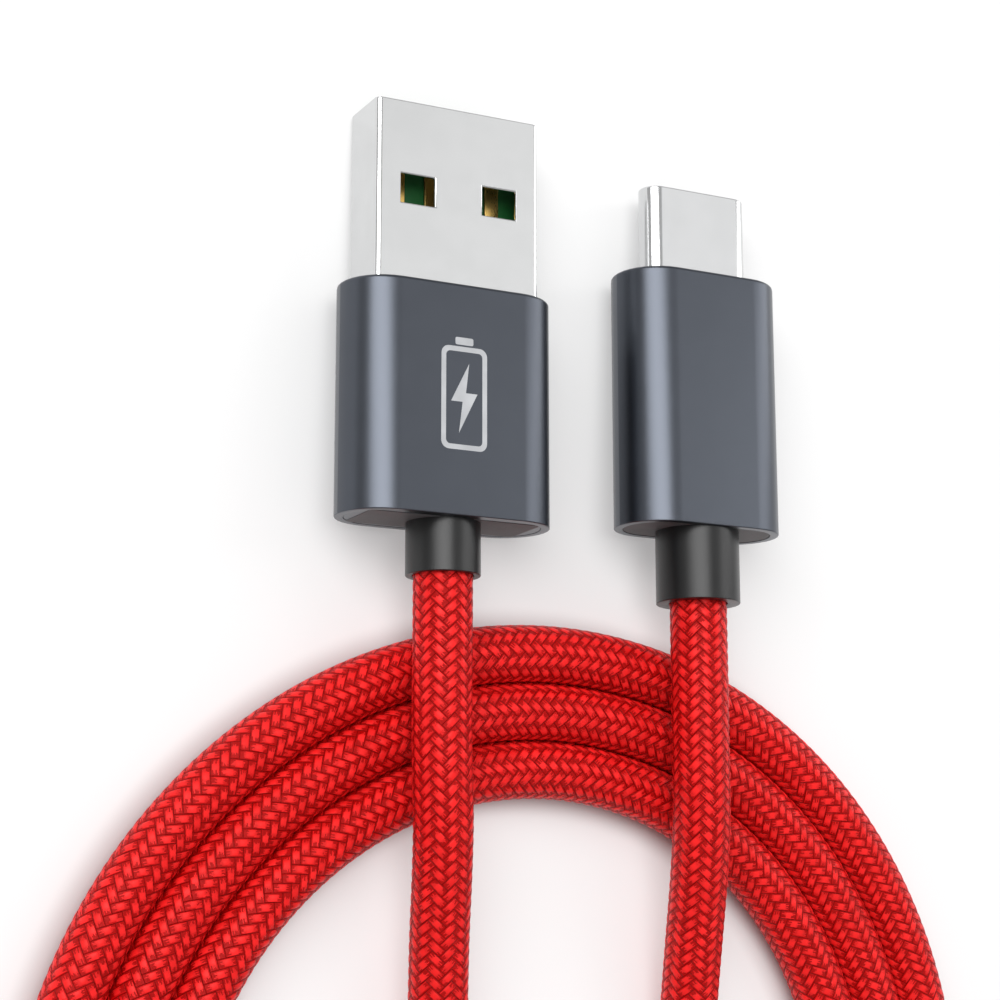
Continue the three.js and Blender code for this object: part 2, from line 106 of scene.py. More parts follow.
class Graph:
    """One Principled material, with short calls for the nodes that feed it."""

    def __init__(self, name, **inputs):
        self.material = bpy.data.materials.new(name)
        self.material.use_nodes = True
        self.tree = self.material.node_tree
        self.shader = self.tree.nodes["Principled BSDF"]
        for key, value in inputs.items():
            self.shader.inputs[key.replace("_", " ")].default_value = value

    def put(self, socket, value):
        if isinstance(value, bpy.types.NodeSocket):
            self.tree.links.new(value, socket)
        else:
            socket.default_value = value

    def feed(self, name, value):
        self.put(self.shader.inputs[name], value)

    def node(self, kind, **settings):
        made = self.tree.nodes.new(kind)
        for key, value in settings.items():
            setattr(made, key, value)
        return made

    def math(self, operation, *values, clamp=False):
        made = self.node("ShaderNodeMath", operation=operation, use_clamp=clamp)
        for socket, value in zip(made.inputs, values):
            self.put(socket, value)
        return made.outputs[0]

    def ramp(self, value, low, high, to_low=0.0, to_high=1.0):
        made = self.node("ShaderNodeMapRange", interpolation_type="SMOOTHSTEP")
        for socket, number in zip(made.inputs, (value, low, high, to_low, to_high)):
            self.put(socket, number)
        return made.outputs[0]

    def mix(self, factor, first, second, blend_type="MIX"):
        made = self.node("ShaderNodeMix", data_type="RGBA", blend_type=blend_type)
        self.put(made.inputs[0], factor)
        self.put(made.inputs[6], first)
        self.put(made.inputs[7], second)
        return made.outputs[2]

    def place(self, stretch=(1.0, 1.0, 1.0)):
        """The place on the piece, in metres, stretched on each axis."""
        source = self.node("ShaderNodeTexCoord").outputs["Object"]
        scaled = self.node("ShaderNodeVectorMath", operation="MULTIPLY")
        self.put(scaled.inputs[0], source)
        self.put(scaled.inputs[1], stretch)
        return scaled.outputs[0]

    def noise(self, vector, size, detail=2.0):
        """Noise whose features are about size metres across."""
        made = self.node("ShaderNodeTexNoise")
        self.put(made.inputs["Vector"], vector)
        made.inputs["Scale"].default_value = 1.0 / size
        made.inputs["Detail"].default_value = detail
        return made.outputs["Fac"]

    def bump(self, height, distance, strength=1.0):
        made = self.node("ShaderNodeBump")
        self.put(made.inputs["Height"], height)
        made.inputs["Distance"].default_value = distance
        made.inputs["Strength"].default_value = strength
        self.feed("Normal", made.outputs[0])


def colour(red, green, blue):
    return (red, green, blue, 1.0)


def plain_metal(name, tint, rough, grain, relief, stretch=(1.0, 1.0, 1.0)):
    """A plated or blasted metal: fine grain in its relief, slow cloudiness in its gloss and tint."""
    graph = Graph(name, Metallic=1.0)
    fine = graph.noise(graph.place(stretch), grain, 3.0)
    slow = graph.noise(graph.place(), 2.2 * MM, 2.0)
    darker = tuple(0.97 * c for c in tint[:3]) + (1.0,)
    graph.feed("Base Color", graph.mix(graph.ramp(slow, 0.3, 0.7), darker, tint))
    cloud = graph.math("MULTIPLY_ADD", slow, 0.12 * rough, 0.94 * rough)
    graph.feed("Roughness", graph.math("MULTIPLY_ADD", fine, 0.16 * rough, cloud))
    graph.bump(fine, relief)
    return graph.material


def plain_plastic(name, tint, rough=0.5, grain=0.09 * MM, relief=0.0035 * MM):
    """A moulded plastic or rubber: a faint texture from the mould and a little colour drift."""
    graph = Graph(name, IOR=1.48)
    fine = graph.noise(graph.place(), grain, 3.0)
    slow = graph.noise(graph.place(), 1.6 * MM, 2.0)
    darker = tuple(0.82 * c for c in tint[:3]) + (1.0,)
    graph.feed("Base Color", graph.mix(graph.ramp(slow, 0.25, 0.75), darker, tint))
    graph.feed("Roughness", graph.math("MULTIPLY_ADD", fine, 0.14, rough - 0.07))
    graph.bump(fine, relief)
    return graph.material


# ---------------------------------------------------------------- the cord's route

# From each boot to the inside of the coil, in millimetres from the coil's centre.
RUN_A = [
    (-9.77, 31.0, 6.14),
    (-9.7, 28.0, 6.3),
    (-9.5, 25.0, 6.3),
    (-9.15, 22.0, 6.02),
    (-8.7, 18.5, 5.25),
    (-8.25, 14.5, 4.35),
    (-7.85, 10.5, 3.75),
    (-7.58, 6.0, 3.5),
    (-7.47, 2.0, 3.55),
]
RUN_C = [
    (9.73, 31.0, 6.14),
    (9.8, 28.0, 6.3),
    (10.0, 25.0, 6.3),
    (10.3, 22.0, 6.0),
    (10.75, 18.5, 5.15),
    (11.25, 14.5, 4.0),
    (11.7, 10.5, 2.95),
    (11.93, 6.5, 2.3),
    (12.0, 2.5, 2.02),
]
# Arcs that join each run to the turns: centre from the coil's centre, and degrees round it.
BEND_A = {"x": 12.94 * MM, "y": 0.0, "radius": 20.41 * MM, "from": 180.0, "to": 360.0}
BEND_C = {"x": -6.63 * MM, "y": 2.0 * MM, "radius": 18.63 * MM, "from": 0.0, "to": -196.8}
INNER_TURN_END = 883.2  # degrees round the coil, where the cord leaves for plug C
TURN_SHIFTS = [(200.0, 300.0), (560.0, 660.0)]  # degrees between which a turn moves in
BEND_A_LOW, BEND_A_HIGH = 180.0, 228.8  # where it rises over the cord from plug C
BEND_A_LANDING = 305.0  # where it starts down onto the outer turn
LANDING_LENGTH = 23.15 * MM
BOOT_EXIT_STRAIGHT = 3.0  # millimetres
INSIDE_BOOT = 1.2  # millimetres of cord that shows no more
SMOOTHING_WINDOW = 9  # points


class PlugFrame:
    """A plug's own axes, from the box of its shell, whose lowest edge is on the surface."""

    def __init__(self, shell, height):
        low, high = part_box(shell)
        self.ahead = Vector((0.0, math.cos(PLUG_TILT), -math.sin(PLUG_TILT)))
        self.up = Vector((0.0, math.sin(PLUG_TILT), math.cos(PLUG_TILT)))
        reach = height / 2
        y = high.y - reach * math.sin(PLUG_TILT)
        z = low.z + reach * math.cos(PLUG_TILT)
        self.tip = Vector(((low.x + high.x) / 2, y, z))

    def at(self, x, s, z):
        """A point, from millimetres across, behind the tip and up."""
        return self.tip + Vector((x * MM, 0.0, 0.0)) - s * MM * self.ahead + z * MM * self.up


PLUG_A = PlugFrame("usb_a_shell", 4.5 * MM)
PLUG_C = PlugFrame("usb_c_shell", 2.4 * MM)
BOOT_A = {"diameter": 4.95, "start": 27.75, "end": 31.4}
BOOT_C = {"diameter": 5.8, "start": 24.55, "end": 29.5}


def smoothstep(value, low, high):
    share = np.clip((value - low) / (high - low), 0.0, 1.0)
    return share * share * (3.0 - 2.0 * share)


def catmull_rom(points, steps=24):
    """A centripetal Catmull-Rom curve through the points, with its ends carried straight on."""
    points = np.array(points, float)
    ends = 2 * points[0] - points[1], 2 * points[-1] - points[-2]
    knots = np.vstack([ends[0], points, ends[1]])
    gaps = np.sqrt(np.linalg.norm(np.diff(knots, axis=0), axis=1))
    made = []
    for i in range(1, len(knots) - 2):
        t0 = 0.0
        t1 = t0 + gaps[i - 1]
        t2 = t1 + gaps[i]
        t3 = t2 + gaps[i + 1]
        t = np.linspace(t1, t2, steps, endpoint=False)[:, None]
        p0, p1, p2, p3 = knots[i - 1 : i + 3]
        a1 = (t1 - t) / (t1 - t0) * p0 + (t - t0) / (t1 - t0) * p1
        a2 = (t2 - t) / (t2 - t1) * p1 + (t - t1) / (t2 - t1) * p2
        a3 = (t3 - t) / (t3 - t2) * p2 + (t - t2) / (t3 - t2) * p3
        b1 = (t2 - t) / (t2 - t0) * a1 + (t - t0) / (t2 - t0) * a2
        b2 = (t3 - t) / (t3 - t1) * a2 + (t - t1) / (t3 - t1) * a3
        made.append((t2 - t) / (t2 - t1) * b1 + (t - t1) / (t2 - t1) * b2)
    return np.vstack([*made, points[-1:]])


def run_points(plug, boot, route):
    """The route from inside a boot to the coil's inside, as a dense line."""
    straight = [
        plug.at(0.0, boot["end"] - INSIDE_BOOT, 0.0),
        plug.at(0.0, boot["end"], 0.0),
        plug.at(0.0, boot["end"] + BOOT_EXIT_STRAIGHT, 0.0),
    ]
    placed = [COIL_CENTRE + Vector(point) * MM for point in route]
    return catmull_rom([tuple(p) for p in straight + placed])


def bend_points(bend, heights):
    angles = np.radians(np.linspace(bend["from"], bend["to"], len(heights)))
    x = COIL_CENTRE.x + bend["x"] + bend["radius"] * np.cos(angles)
    y = COIL_CENTRE.y + bend["y"] + bend["radius"] * np.sin(angles)
    return np.stack([x, y, heights], 1)


def bend_a_points():
    """From plug A's run, over the cord from plug C and two turns, and down beside them."""
    steps = 180
    degrees = np.linspace(BEND_A["from"], BEND_A["to"], steps)
    low = RUN_A[-1][2] * MM
    heights = low + (OVER_HEIGHT - low) * smoothstep(degrees, BEND_A_LOW, BEND_A_HIGH)
    landed = BEND_A["radius"] * np.radians(np.maximum(degrees - BEND_A_LANDING, 0.0))
    heights -= (OVER_HEIGHT - REST_HEIGHT) * smoothstep(landed, 0.0, LANDING_LENGTH)
    return bend_points(BEND_A, heights)


def coil_points():
    """The turns, from the outside in. Each moves in by a diameter at the same side."""
    degrees = np.arange(0.0, INNER_TURN_END, 1.0)
    radius = np.full_like(degrees, OUTER_TURN_RADIUS)
    for low, high in TURN_SHIFTS:
        radius -= CORD_DIAMETER * smoothstep(degrees, low, high)
    done = BEND_A["radius"] * math.radians(BEND_A["to"] - BEND_A_LANDING)
    landed = done + OUTER_TURN_RADIUS * np.radians(degrees)
    heights = OVER_HEIGHT + (REST_HEIGHT - OVER_HEIGHT) * smoothstep(landed, 0.0, LANDING_LENGTH)
    x = COIL_CENTRE.x + radius * np.cos(np.radians(degrees))
    y = COIL_CENTRE.y + radius * np.sin(np.radians(degrees))
    return np.stack([x, y, heights], 1)


def evenly(points, step):
    """The line resampled about every step along it, with its ends kept."""
    apart = np.linalg.norm(np.diff(points, axis=0), axis=1)
    points = points[np.concatenate([[True], apart > 1e-7])]
    along = np.concatenate([[0.0], np.cumsum(np.linalg.norm(np.diff(points, axis=0), axis=1))])
    count = int(round(along[-1] / step)) + 1
    wanted = np.linspace(0.0, along[-1], count)
    return np.stack([np.interp(wanted, along, points[:, k]) for k in range(3)], 1)


def smoothed(points, window):
    """A running average that leaves the ends in place."""
    half = window // 2
    first = 2 * points[0] - points[half:0:-1]
    last = 2 * points[-1] - points[-2 : -half - 2 : -1]
    padded = np.vstack([first, points, last])
    kernel = np.ones(window) / window
    return np.stack([np.convolve(padded[:, k], kernel, "valid") for k in range(3)], 1)


# ---------------------------------------------------------------- the braid

STRANDS = 14  # each way round the cord
FLOAT_PITCH = 0.81 * MM  # along the cord, from one float to the next beside it
TURN_RATE = 2 * math.pi / (STRANDS * FLOAT_PITCH)  # radians round per metre along
RINGS_PER_PITCH = 4
SIDES = 4 * STRANDS
VALLEY_RADIUS = 1.89 * MM
CROWN_HEIGHT = 0.09 * MM
DIVE_ANGLE = math.radians(66.0)  # how far a float has turned down at its ends
FILAMENTS = 8.0  # across a float


def braid_height(across, along):
    """0 in a gap, 1 on the crown of a float: across is -0.5 to 0.5 and along is -1 to 1."""
    crown = np.sqrt(np.clip(1.0 - (2.0 * across) ** 2, 0.0, 1.0))
    dive = np.cos(along * DIVE_ANGLE)
    return crown * dive


def braid_cells(u, v):
    """For each place, across and along the float that is on top there.

    One set of strands is at whole numbers of u - v and the other at whole numbers of u + v. Each
    strand passes over two of the others and then under two.
    """
    first, second = u - v, u + v
    i, j = np.floor(first + 0.5), np.floor(second + 0.5)
    x, y = first - i, second - j
    phase = np.mod(i + j, 4.0)
    half = np.where(np.mod(phase, 2.0) < 0.5, -0.5, 0.5)
    first_on_top = phase < 1.5
    return np.where(first_on_top, x, y), np.where(first_on_top, y, x) + half


def carried_frames(points):
    """A normal and a binormal at each point, carried along the line without twist."""
    tangents = np.gradient(points, axis=0)
    tangents /= np.linalg.norm(tangents, axis=1)[:, None]
    normal = np.array([0.0, 0.0, 1.0])
    normals = np.empty_like(points)
    for k, tangent in enumerate(tangents):
        normal = normal - tangent * (normal @ tangent)
        normal /= np.linalg.norm(normal)
        normals[k] = normal
    return normals, np.cross(tangents, normals)


def braided_piece(name, line, first, last, material):
    """The braid round one stretch of the whole line, as a closed mesh with its own pattern UVs."""
    points, along = line["points"][first : last + 1], line["along"][first : last + 1]
    normals, sides = line["normals"][first : last + 1], line["sides"][first : last + 1]
    angles = 2 * math.pi * np.arange(SIDES) / SIDES
    u = np.broadcast_to(STRANDS * angles / (2 * math.pi), (len(points), SIDES))
    v = np.broadcast_to((along * STRANDS * TURN_RATE / (2 * math.pi))[:, None], u.shape)
    radius = VALLEY_RADIUS + CROWN_HEIGHT * braid_height(*braid_cells(u, v))
    outward = (
        np.cos(angles)[None, :, None] * normals[:, None, :]
        + np.sin(angles)[None, :, None] * sides[:, None, :]
    )
    places = points[:, None, :] + radius[:, :, None] * outward
    rings = len(points)
    ring, side = np.meshgrid(np.arange(rings - 1), np.arange(SIDES), indexing="ij")
    after = (side + 1) % SIDES
    corners = [
        ring * SIDES + side,
        ring * SIDES + after,
        (ring + 1) * SIDES + after,
        (ring + 1) * SIDES + side,
    ]
    quads = np.stack(corners, -1).reshape(-1, 4)
    mesh = bpy.data.meshes.new(name)
    caps = [list(range(SIDES - 1, -1, -1)), list(range((rings - 1) * SIDES, rings * SIDES))]
    mesh.from_pydata(places.reshape(-1, 3).tolist(), [], quads.tolist() + caps)
    u_start = STRANDS * side / SIDES
    u_end = STRANDS * (side + 1) / SIDES
    v_start, v_end = v[ring, 0], v[ring + 1, 0]
    corner_uvs = np.stack(
        [
            np.stack([u_start, v_start], -1),
            np.stack([u_end, v_start], -1),
            np.stack([u_end, v_end], -1),
            np.stack([u_start, v_end], -1),
        ],
        -2,
    ).reshape(-1, 2)
    uvs = np.zeros((len(mesh.loops), 2), np.float32)
    uvs[: len(corner_uvs)] = corner_uvs
    mesh.uv_layers.new(name="braid").data.foreach_set("uv", uvs.ravel())
    mesh.polygons.foreach_set("use_smooth", np.ones(len(mesh.polygons), bool))
    mesh.materials.append(material)
    made = bpy.data.objects.new(name, mesh)
    bpy.context.scene.collection.objects.link(made)
    return made


BRAID_PAINTED_HIGHLIGHT = colour(0.95, 0.020, 0.020)  # painted highlight on the core of a float
BRAID_BASE = colour(0.53, 0.0, 0.0)  # a light filament beside it
BRAID_DARK = colour(0.38, 0.0, 0.0)  # a dark one
BRAID_PAINTED_SHADE = colour(0.12, 0.0, 0.0)  # painted shade between two floats and at a float's diving ends
BRAID_RELIEF = 0.08 * MM


def braid_material():
    """Red nylon: floats of parallel filaments, with a painted highlight along their cores and painted
    shade in the gaps.
    """
    graph = Graph("cord_braid", IOR=1.5, Specular_IOR_Level=0.4)
    graph.shader.inputs["Specular Tint"].default_value = colour(1.0, 0.40, 0.38)
    source = graph.node("ShaderNodeUVMap", uv_map="braid").outputs[0]
    split = graph.node("ShaderNodeSeparateXYZ")
    graph.put(split.inputs[0], source)
    u, v = split.outputs[0], split.outputs[1]
    first = graph.math("SUBTRACT", u, v)
    second = graph.math("ADD", u, v)
    i = graph.math("FLOOR", graph.math("ADD", first, 0.5))
    j = graph.math("FLOOR", graph.math("ADD", second, 0.5))
    x = graph.math("SUBTRACT", first, i)
    y = graph.math("SUBTRACT", second, j)
    phase = graph.math("FLOORED_MODULO", graph.math("ADD", i, j), 4.0)
    on_top = graph.math("LESS_THAN", phase, 1.5)
    odd = graph.math("FLOORED_MODULO", phase, 2.0)
    half = graph.math("SUBTRACT", odd, 0.5)

    def choose(when_first, when_second):
        rest = graph.math("SUBTRACT", when_first, when_second)
        return graph.math("MULTIPLY_ADD", rest, on_top, when_second)

    across = choose(x, y)
    along = graph.math("ADD", choose(y, x), half)
    strand = choose(i, j)
    start = graph.math("SUBTRACT", choose(j, i), odd)

    # A number from 0 to 1 that stays the same over all of one float, or one filament of it.
    def drawn(first_key, second_key, third_key):
        key = graph.node("ShaderNodeCombineXYZ")
        for socket, value in zip(key.inputs, (first_key, second_key, third_key)):
            graph.put(socket, value)
        noise = graph.node("ShaderNodeTexWhiteNoise", noise_dimensions="3D")
        graph.put(noise.inputs["Vector"], key.outputs[0])
        return noise.outputs["Value"]

    per_float = drawn(strand, start, on_top)
    shift = graph.math("MULTIPLY_ADD", per_float, 0.10, -0.05)
    shifted = graph.math("ADD", across, shift)
    count = graph.math("MULTIPLY", shifted, FILAMENTS)
    filament = graph.math("FLOOR", count)
    inside = graph.math("SUBTRACT", graph.math("FRACT", count), 0.5)
    fall = graph.math("MULTIPLY", graph.math("MULTIPLY", inside, inside), 4.0)
    round_top = graph.math("SUBTRACT", 1.0, fall)
    key_sum = graph.math("MULTIPLY_ADD", start, 3.7, on_top)
    per_filament = drawn(filament, strand, key_sum)

    # The painted highlight on the core of a float: its filaments end at different places, so its ends are
    # ragged.
    beside = graph.math("ABSOLUTE", shifted)
    along_size = graph.math("ABSOLUTE", along)
    highlight_core = graph.ramp(beside, 0.41, 0.31)
    reach = graph.math("MULTIPLY_ADD", per_filament, 0.58, 0.32)
    past = graph.math("SUBTRACT", along_size, reach)
    highlight_core = graph.math("MULTIPLY", highlight_core, graph.ramp(past, 0.05, -0.03))
    near_end = graph.ramp(along_size, 0.15, 0.60)
    groove = graph.math("MULTIPLY", graph.ramp(round_top, 0.60, 0.0), near_end)
    highlight_core = graph.math("MULTIPLY", highlight_core, graph.math("MULTIPLY_ADD", groove, -0.95, 1.0))
    strength = graph.math("MULTIPLY_ADD", per_float, 0.35, 0.65)
    highlight_core = graph.math("MULTIPLY", highlight_core, strength)
    # Painted shade in the seams between floats and at the ends where a float dives under; the same mask
    # also sinks the bump.
    seam_shade = graph.ramp(graph.math("ABSOLUTE", across), 0.44, 0.50)
    tail_shade = graph.ramp(along_size, 0.90, 1.0)
    seam_shade = graph.math("MULTIPLY", seam_shade, 0.85)
    seam_shade = graph.math("MAXIMUM", seam_shade, graph.math("MULTIPLY", tail_shade, 0.45))

    under = graph.mix(per_filament, BRAID_DARK, BRAID_BASE)
    # Painted highlight: the float cores take the bright colour.
    highlighted_colour = graph.mix(highlight_core, under, BRAID_PAINTED_HIGHLIGHT)
    # Painted shade: the seams and diving ends take the dark colour.
    graph.feed("Base Color", graph.mix(seam_shade, highlighted_colour, BRAID_PAINTED_SHADE))
    graph.feed("Roughness", graph.math("MULTIPLY_ADD", highlight_core, -0.12, 0.50))
    relief = graph.math("MULTIPLY_ADD", groove, -0.22, graph.math("MULTIPLY", highlight_core, 0.30))
    relief = graph.math("MULTIPLY_ADD", seam_shade, -0.8, relief)
    graph.bump(relief, BRAID_RELIEF)
    return graph.material


def the_whole_line():
    """The cord's centre from inside boot A to inside boot C, with frames and distance along it."""
    run_a = run_points(PLUG_A, BOOT_A, RUN_A)
    run_c = run_points(PLUG_C, BOOT_C, RUN_C)
    bend_c = bend_points(BEND_C, np.full(160, REST_HEIGHT))[::-1]
    joined = np.vstack([run_a, bend_a_points(), coil_points(), bend_c, run_c[::-1]])
    step = FLOAT_PITCH / RINGS_PER_PITCH
    points = evenly(smoothed(evenly(joined, step), SMOOTHING_WINDOW), step)
    length = np.linalg.norm(np.diff(points, axis=0), axis=1).sum()
    along = np.linspace(0.0, length, len(points))
    normals, sides = carried_frames(points)
    end_a, end_c = run_a[-1], run_c[-1]
    split_a = int(np.argmin(np.linalg.norm(points - end_a, axis=1)))
    split_c = int(np.argmin(np.linalg.norm(points - end_c, axis=1)))
    return {
        "points": points,
        "along": along,
        "normals": normals,
        "sides": sides,
        "length": length,
        "splits": (split_a, split_c),
    }


def make_cord():
    line = the_whole_line()
    material = braid_material()
    split_a, split_c = line["splits"]
    last = len(line["points"]) - 1
    run_a = braided_piece("cord_from_plug_a", line, 0, split_a, material)
    turns = braided_piece("cord_in_coil", line, split_a, split_c, material)
    run_c = braided_piece("cord_from_plug_c", line, split_c, last, material)
    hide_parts("cord_run_a")
    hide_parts("cord_coil", "cord_join_a", "cord_join_c")
    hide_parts("cord_run_c")
    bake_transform(run_a)
    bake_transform(run_c)
    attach(turns, "coil")
    print("cord length", round(line["length"], 4))


make_cord()

# ---------------------------------------------------------------- materials of the plugs

MATERIALS = {
    "plug_nickel": plain_metal(
        "plug_nickel", colour(0.665, 0.67, 0.672), 0.16, 0.05 * MM, 0.00012 * MM, (1.0, 0.12, 1.0)
    ),
    "plug_bright_nickel": plain_metal(
        "plug_bright_nickel", colour(0.665, 0.67, 0.676), 0.12, 0.05 * MM, 0.0001 * MM
    ),
    "spring_steel": plain_metal(
        "spring_steel", colour(0.55, 0.56, 0.57), 0.3, 0.04 * MM, 0.0004 * MM, (1.0, 0.1, 1.0)
    ),
    "contact_gold": plain_metal(
        "contact_gold", colour(0.83, 0.55, 0.17), 0.26, 0.04 * MM, 0.0005 * MM, (1.0, 0.15, 1.0)
    ),
    "housing_aluminium": plain_metal(
        "housing_aluminium", colour(0.087, 0.095, 0.112), 0.29, 0.05 * MM, 0.0030 * MM
    ),
    "insulator_green": plain_plastic("insulator_green", colour(0.0, 0.085, 0.012), 0.45),
    "insulator_black": plain_plastic("insulator_black", colour(0.014, 0.014, 0.016), 0.5),
    "cap_plastic": plain_plastic("cap_plastic", colour(0.075, 0.075, 0.078), 0.55),
    "boot_plastic": plain_plastic("boot_plastic", colour(0.006, 0.006, 0.0062), 0.33),
    "mould_plastic": plain_plastic("mould_plastic", colour(0.62, 0.61, 0.57), 0.6),
    "cord_jacket": plain_plastic("cord_jacket", colour(0.25, 0.012, 0.015), 0.55),
    "wire_red": plain_plastic("wire_red", colour(0.52, 0.010, 0.012), 0.4),
    "wire_white": plain_plastic("wire_white", colour(0.78, 0.76, 0.70), 0.4),
    "wire_green": plain_plastic("wire_green", colour(0.015, 0.24, 0.04), 0.4),
    "wire_black": plain_plastic("wire_black", colour(0.012, 0.012, 0.014), 0.4),
    "circuit_board": plain_plastic("circuit_board", colour(0.010, 0.110, 0.045), 0.3, 0.3 * MM),
    "resistor_ceramic": plain_plastic("resistor_ceramic", colour(0.020, 0.020, 0.020), 0.3),
    "printed_mark": plain_plastic("printed_mark", colour(0.50, 0.51, 0.53), 0.55, 0.05 * MM, 0.001 * MM),
}

# ---------------------------------------------------------------- shapes for the plugs

ARC_POINTS = 9  # at each corner of an outline
EDGE_STEPS = 4  # round an edge


def outline(width, height, corner):
    """A rounded rectangle, anticlockwise from the right side, as points across and up."""
    made = []
    for quarter, (side, top) in enumerate([(1, 1), (-1, 1), (-1, -1), (1, -1)]):
        centre = side * (width / 2 - corner), top * (height / 2 - corner)
        for k in range(ARC_POINTS):
            angle = math.radians(90 * (quarter + k / (ARC_POINTS - 1)))
            made.append((centre[0] + corner * math.cos(angle), centre[1] + corner * math.sin(angle)))
    return made


def stadium(width, height):
    """An outline with half-round sides, kept from quite meeting so that no two points coincide."""
    return outline(width, height, height / 2 - 0.01)


def circle_outline(diameter):
    count = 4 * ARC_POINTS
    turn = [2 * math.pi * (k + 0.5) / count for k in range(count)]
    return [(diameter / 2 * math.cos(a), diameter / 2 * math.sin(a)) for a in turn]


def ring(points, s):
    return [(x, s, z) for x, z in points]


def outer_edge(shape, width, height, face, radius, into):
    """Rings round an outside edge, from the end face to the side. into is +1 at a front, -1 at a back."""
    made = []
    for k in range(EDGE_STEPS + 1):
        angle = math.pi / 2 * k / EDGE_STEPS
        inset = radius * (1 - math.sin(angle))
        s = face + into * radius * (1 - math.cos(angle))
        made.append(ring(shape(width - 2 * inset, height - 2 * inset), s))
    return made


def inner_edge(shape, width, height, face, radius, into):
    """Rings round a mouth's edge, from inside the mouth to the end face."""
    made = []
    for k in range(EDGE_STEPS + 1):
        angle = math.pi / 2 * k / EDGE_STEPS
        outset = radius * (1 - math.cos(angle))
        s = face + into * radius * (1 - math.sin(angle))
        made.append(ring(shape(width + 2 * outset, height + 2 * outset), s))
    return made


def link(name, mesh, material):
    mesh.materials.clear()
    mesh.materials.append(material)
    made = bpy.data.objects.new(name, mesh)
    bpy.context.scene.collection.objects.link(made)
    return made


def shade(piece, sharp=40.0):
    """Smooth shading with sharp edges kept, and flat faces kept flat beside round ones."""
    mesh = piece.data
    mesh.polygons.foreach_set("use_smooth", np.ones(len(mesh.polygons), bool))
    mesh.set_sharp_from_angle(angle=math.radians(sharp))
    weighted = piece.modifiers.new("weighted", "WEIGHTED_NORMAL")
    weighted.keep_sharp = True
    return piece


def outward(mesh):
    """Turns every face of a closed mesh outward."""
    work = bmesh.new()
    work.from_mesh(mesh)
    bmesh.ops.recalc_face_normals(work, faces=work.faces)
    work.to_mesh(mesh)
    work.free()


def loft(name, plug, rings, material):
    """A closed skin through rings of equal counts, the last joined to the first."""
    count = len(rings[0])
    places = [plug.at(x, s, z) for points in rings for x, s, z in points]
    faces = []
    for r in range(len(rings)):
        here, there = r * count, (r + 1) % len(rings) * count
        for k in range(count):
            after = (k + 1) % count
            faces.append((here + k, here + after, there + after, there + k))
    mesh = bpy.data.meshes.new(name)
    mesh.from_pydata(places, [], faces)
    outward(mesh)
    return link(name, mesh, MATERIALS[material])


def bake_modifiers(piece):
    """Replaces the mesh by what its modifiers make of it."""
    bpy.context.view_layer.update()
    shown = piece.evaluated_get(bpy.context.evaluated_depsgraph_get())
    mesh = bpy.data.meshes.new_from_object(shown)
    piece.modifiers.clear()
    piece.data = mesh


def finish_piece(piece, body, slot, *nodes):
    shade(piece)
    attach(piece, body)
    if nodes:
        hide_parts(*nodes)
    return piece


# ---------------------------------------------------------------- pieces of both plugs


def make_housing(name, plug, body, size, opening, node):
    """A turned sleeve, its front closed round the shell and its back open for the cap."""
    width, height, start, end, wall, web = size
    shape, mouth_width, mouth_height = opening
    bore = width - 2 * wall, height - 2 * wall
    front_edge, back_edge, mouth_edge, bore_edge = 0.24, 0.07, 0.08, 0.02
    rings = [
        ring(shape(mouth_width, mouth_height), start + web),
        *inner_edge(shape, mouth_width, mouth_height, start, mouth_edge, 1),
        *outer_edge(stadium, width, height, start, front_edge, 1),
        *reversed(outer_edge(stadium, width, height, end, back_edge, -1)),
        *reversed(inner_edge(stadium, *bore, end, bore_edge, -1)),
        ring(stadium(*bore), start + web),
    ]
    piece = loft(name, plug, rings, "housing_aluminium")
    return finish_piece(piece, body, "housing_aluminium", node)


def make_plate(name, plug, body, shape, size, hole, slot, *nodes):
    """A flat plate across a plug with a round hole and softened edges."""
    width, height, start, end = size
    edge = 0.03
    rings = [
        ring(circle_outline(hole), start),
        ring(shape(width, height), start),
        *reversed(outer_edge(shape, width, height, end, edge, -1)),
        ring(circle_outline(hole + 2 * edge), end),
        ring(circle_outline(hole), end - edge),
    ]
    return finish_piece(loft(name, plug, rings, slot), body, slot, *nodes)


def make_boot(name, plug, body, boot, node):
    """A straight moulded sleeve with a softened end and a flared mouth for the cord."""
    edge, flare, clearance, sunk = 0.06, 0.10, 0.12, 0.1
    bore = CORD_DIAMETER / MM + clearance
    start, end, outer = boot["start"] - sunk, boot["end"], boot["diameter"]
    profile = [(bore, start), (outer, start)]
    turns = [math.pi / 2 * k / EDGE_STEPS for k in range(EDGE_STEPS + 1)]
    for a in turns:
        profile.append((outer - 2 * edge * (1 - math.cos(a)), end - edge * (1 - math.sin(a))))
    for a in turns:
        profile.append((bore + 2 * flare * (1 - math.sin(a)), end - flare * (1 - math.cos(a))))
    rings = [ring(circle_outline(diameter), s) for diameter, s in profile]
    return finish_piece(loft(name, plug, rings, "boot_plastic"), body, "boot_plastic", node)


# ---------------------------------------------------------------- USB-A plug


def sharp_corners(width, height):
    """An outline with the corners of the shell's outside."""
    return outline(width, height, 0.42)


def bore_corners(width, height):
    """An outline with the corners of the shell's inside."""
    return outline(width, height, 0.3)


